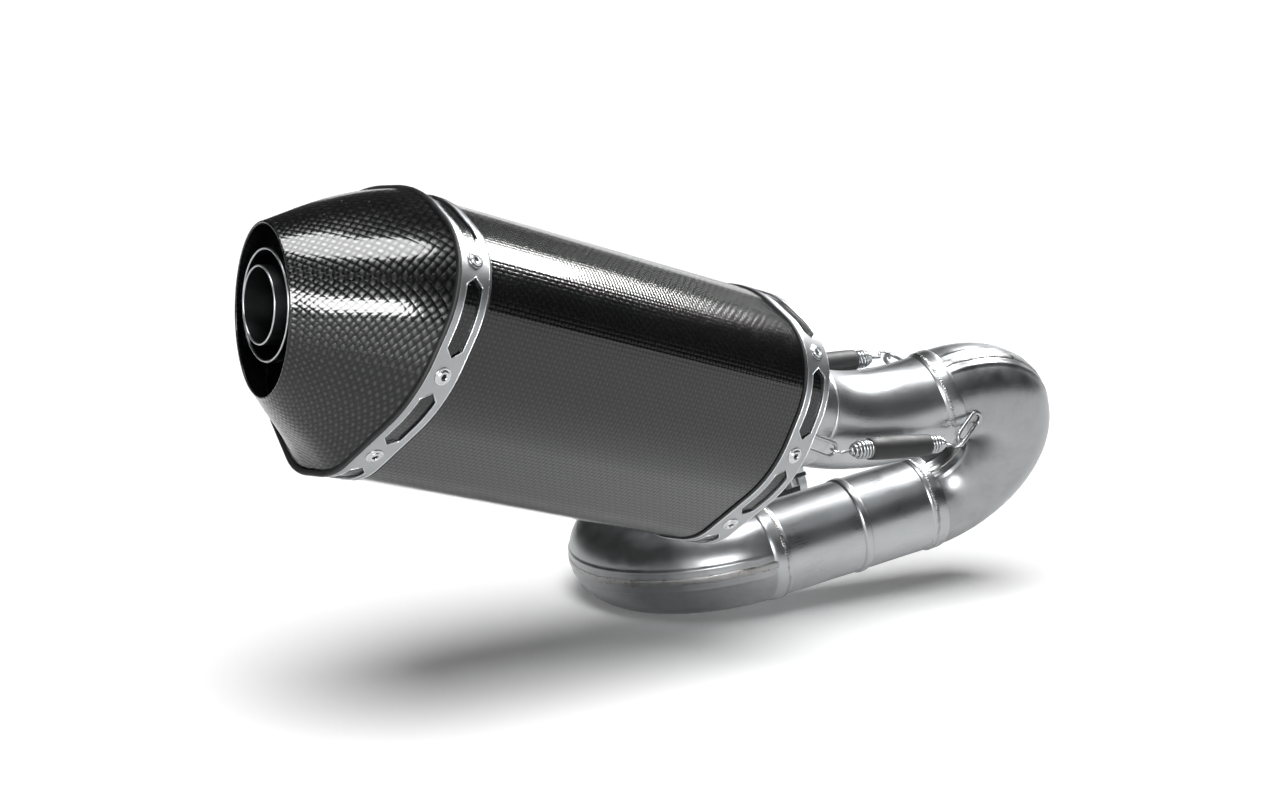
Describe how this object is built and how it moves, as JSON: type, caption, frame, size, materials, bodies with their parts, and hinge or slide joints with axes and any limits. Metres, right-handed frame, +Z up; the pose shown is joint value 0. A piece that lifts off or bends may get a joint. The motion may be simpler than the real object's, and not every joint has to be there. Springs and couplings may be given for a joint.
{
  "type": "motorcycle slip-on exhaust",
  "caption": "Slip-on silencer with a rounded carbon can and angled end cap on a twice-bent link pipe, held by springs and riveted end straps.",
  "frame": {"origin": "centre of the link pipe inlet mouth", "axes": "+X forward on the motorcycle, -Y outboard (silencer side), +Z up; the inlet leg climbs forward 11 degrees in the XZ plane"},
  "size_m": [0.574, 0.4374, 0.3051],
  "materials": {
    "titanium": "brushed",
    "pressed_titanium": "sand cast grain",
    "weld": "weld ripple",
    "stainless": "satin",
    "strap_steel": "brushed",
    "rivet_steel": "polished",
    "carbon": "clear-coated twill weave",
    "seal": "matte",
    "dark_outlet": "heat-darkened satin",
    "spring_steel": "bright drawn wire",
    "silicone": "matte",
    "zinc": "zinc plated",
    "wool": "loose fibre"
  },
  "bodies": {
    "link": {"inlet_pipe": "titanium", "low_bend_shell_a": "pressed_titanium", "low_bend_shell_b": "pressed_titanium", "low_bend_seam": "weld", "lower_tube_rear": "titanium", "lower_tube_front": "titanium", "high_bend_shell_a": "pressed_titanium", "high_bend_shell_b": "pressed_titanium", "high_bend_seam": "weld", "swan_pipe": "titanium", "pipe_welds": "weld", "inlet_clamp": "zinc", "clamp_nut": "zinc", "pipe_hooks": "stainless", "spring_near": "spring_steel", "spring_top": "spring_steel", "spring_low": "spring_steel", "guard_near": "silicone", "guard_top": "silicone", "guard_low": "silicone"},
    "clamp_bolt": {"clamp_bolt": "zinc"},
    "silencer": {"carbon_sleeve": "carbon", "front_strap": "strap_steel", "rear_strap": "strap_steel", "front_rivets": "rivet_steel", "rear_rivets": "rivet_steel", "front_seal": "seal", "rear_seal": "seal", "front_cap": "titanium", "inlet_collar": "titanium", "collar_weld": "weld", "perforated_core": "stainless", "packing": "wool", "end_cap": "carbon", "outlet_tube": "dark_outlet", "rear_bulkhead": "stainless", "silencer_hooks": "stainless", "hanger_plate": "stainless", "hanger_rubber": "silicone", "hanger_bush": "zinc"},
    "insert": {"outlet_insert": "dark_outlet"}
  },
  "joints": [
    {"name": "silencer_slip", "type": "slide", "parent": "link", "child": "silencer", "axis": [-0.9004, -0.3325, 0.2806], "range_m": [0, 0.006], "stiffness_N_per_m": 12000, "springref_m": -0.003, "deforming": ["spring_near", "spring_top", "spring_low"]},
    {"name": "clamp_bolt_turn", "type": "hinge", "parent": "link", "child": "clamp_bolt", "pos_m": [-0.01758, -0.03672, 0.01167], "axis": [0.1785, -0.3746, -0.9098], "continuous": true},
    {"name": "insert_slide", "type": "slide", "parent": "silencer", "child": "insert", "axis": [-0.9898, -0.1275, 0.0629], "range_m": [0, 0.06]}
  ]
}
